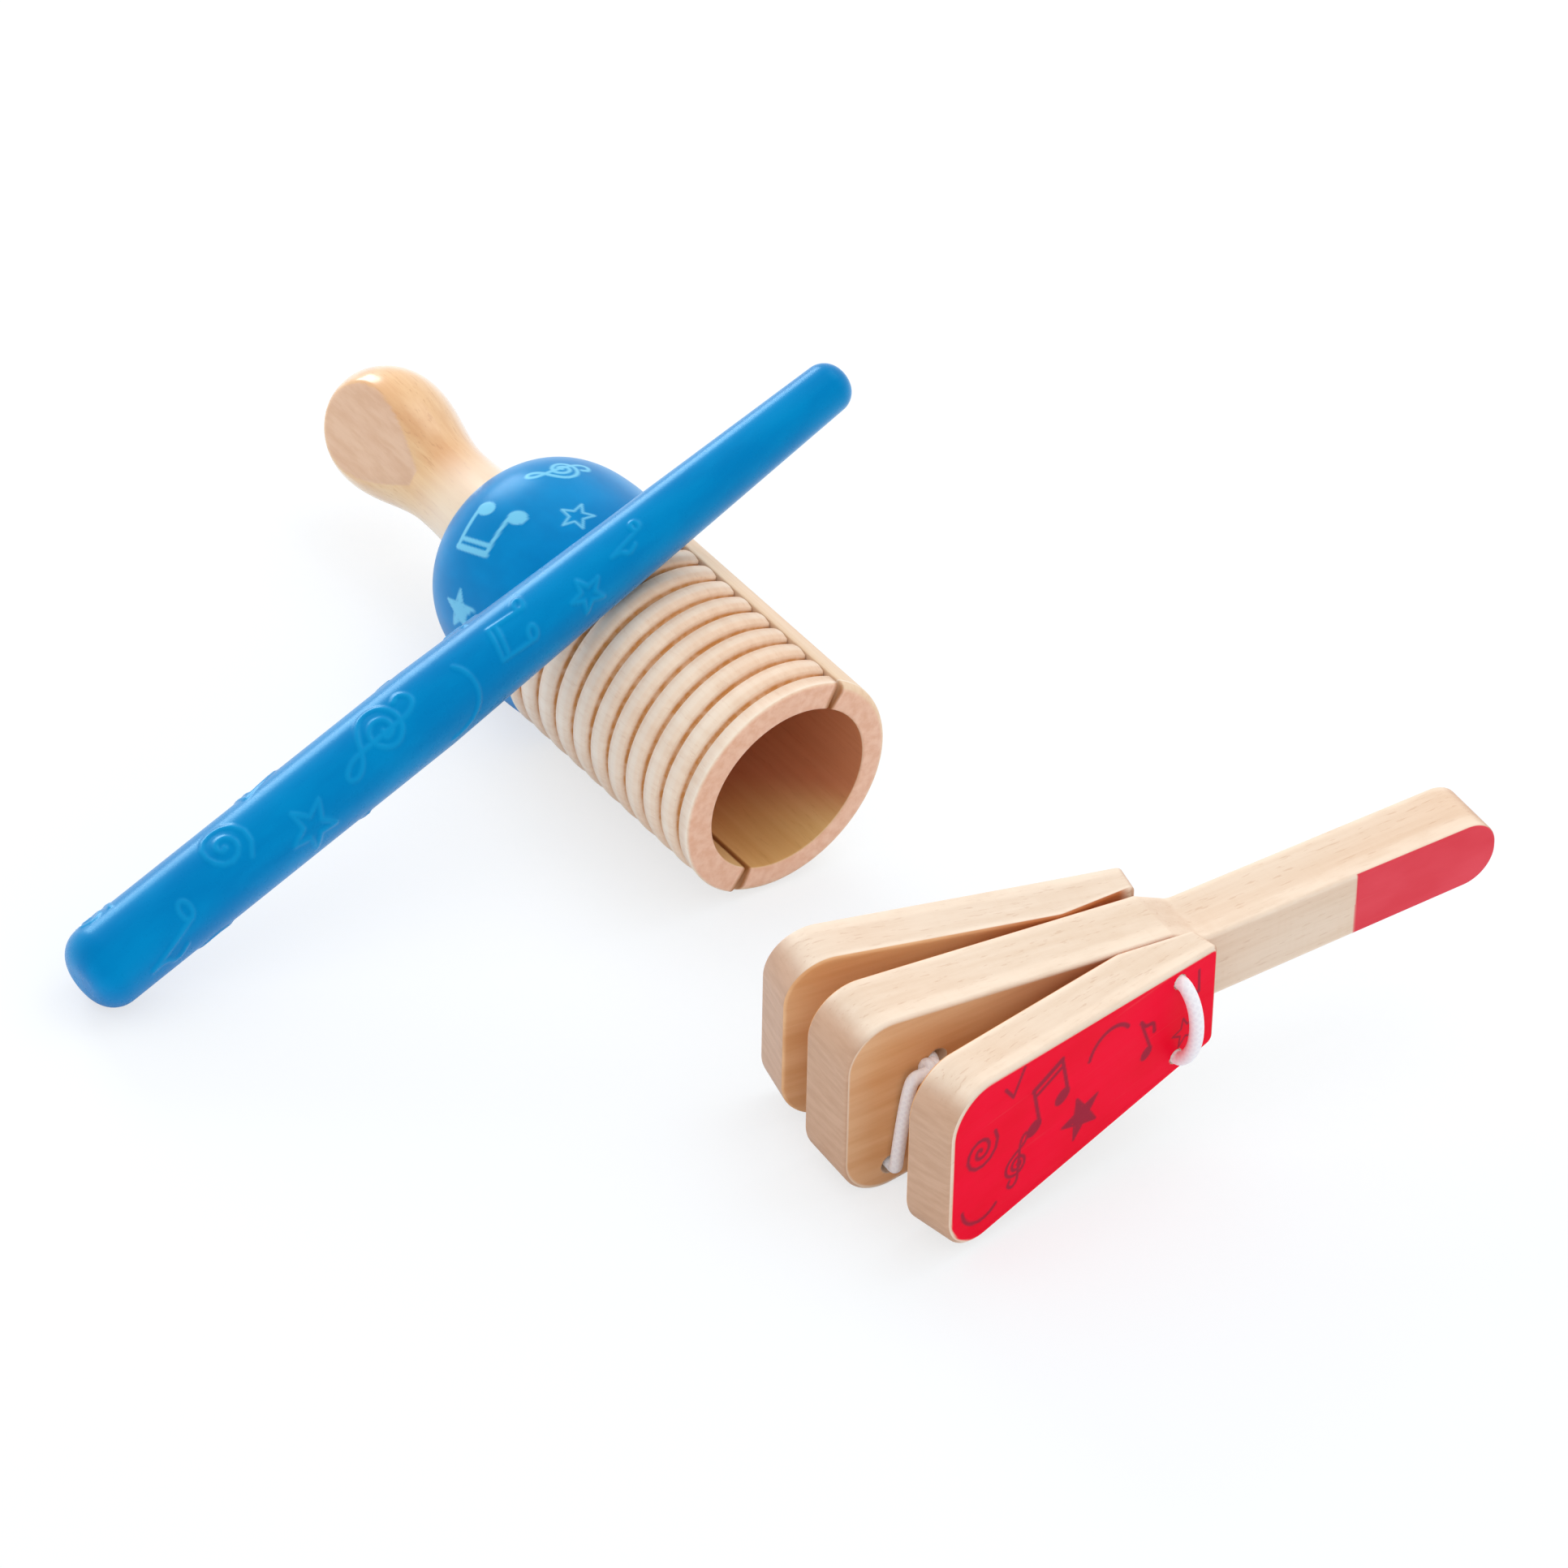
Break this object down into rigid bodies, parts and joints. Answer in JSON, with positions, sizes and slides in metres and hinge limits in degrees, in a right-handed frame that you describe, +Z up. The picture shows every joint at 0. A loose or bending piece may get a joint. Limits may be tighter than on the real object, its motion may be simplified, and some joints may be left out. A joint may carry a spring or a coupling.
{
  "type": "guiro clapper",
  "caption": "Hand percussion set: a split ribbed wooden guiro with a domed cap and turned handle, its tapered scraper stick, and a wooden board clapper tied with elastic cord.",
  "frame": {"origin": "centre of the bottom of the set's bounding box, on the table", "axes": "+Z up; +X along the guiro's axis from its open end to its handle; the clapper lies at -X with its handle towards -Y"},
  "size_m": [0.2884, 0.2752, 0.0895],
  "materials": {
    "oiled_wood": "semi-gloss clear coat on amber hardwood",
    "blue_lacquer": "glossy blue lacquer on turned wood with paler printed motifs",
    "ribbed_wood": "bare sanded peach hardwood",
    "smooth_wood": "bare sanded pale hardwood",
    "blue_plastic": "satin blue with raised outline motifs",
    "board_wood": "bare sanded pale hardwood, red print on the handle end",
    "red_print_wood": "red print with darker motifs on pale hardwood",
    "rear_board_wood": "bare sanded pale hardwood",
    "elastic": "round braided elastic"
  },
  "bodies": {
    "guiro": {"guiro_handle": "oiled_wood", "end_cap": "blue_lacquer", "ribbed_half_shell": "ribbed_wood", "smooth_half_shell": "smooth_wood"},
    "scraper": {"scraper_stick": "blue_plastic"},
    "clapper": {"centre_board": "board_wood", "hinge_cord": "elastic", "bumper_cord": "elastic"},
    "front_board": {"front_paddle": "red_print_wood"},
    "rear_board": {"rear_paddle": "rear_board_wood"}
  },
  "joints": [
    {"name": "scrape_stroke", "type": "slide", "parent": "guiro", "child": "scraper", "axis": [1, 0, 0], "range_m": [-0.045, 0.01]},
    {"name": "clapper_lift", "type": "slide", "parent": "guiro", "child": "clapper", "axis": [0, 0, 1], "range_m": [0, 0.2]},
    {"name": "front_paddle_hinge", "type": "hinge", "parent": "clapper", "child": "front_board", "pos_m": [-0.12178, -0.0361, 0.03071], "axis": [-0.0098, -0.1232, -0.9923], "range_deg": [0, 6.8], "stiffness_Nm_per_rad": 0.03, "deforming": ["hinge_cord"]},
    {"name": "rear_paddle_hinge", "type": "hinge", "parent": "clapper", "child": "rear_board", "pos_m": [-0.10559, -0.0344, 0.03034], "axis": [0.0098, 0.1232, 0.9923], "range_deg": [-4.5, 4.6], "stiffness_Nm_per_rad": 0.03, "deforming": ["hinge_cord"]}
  ]
}
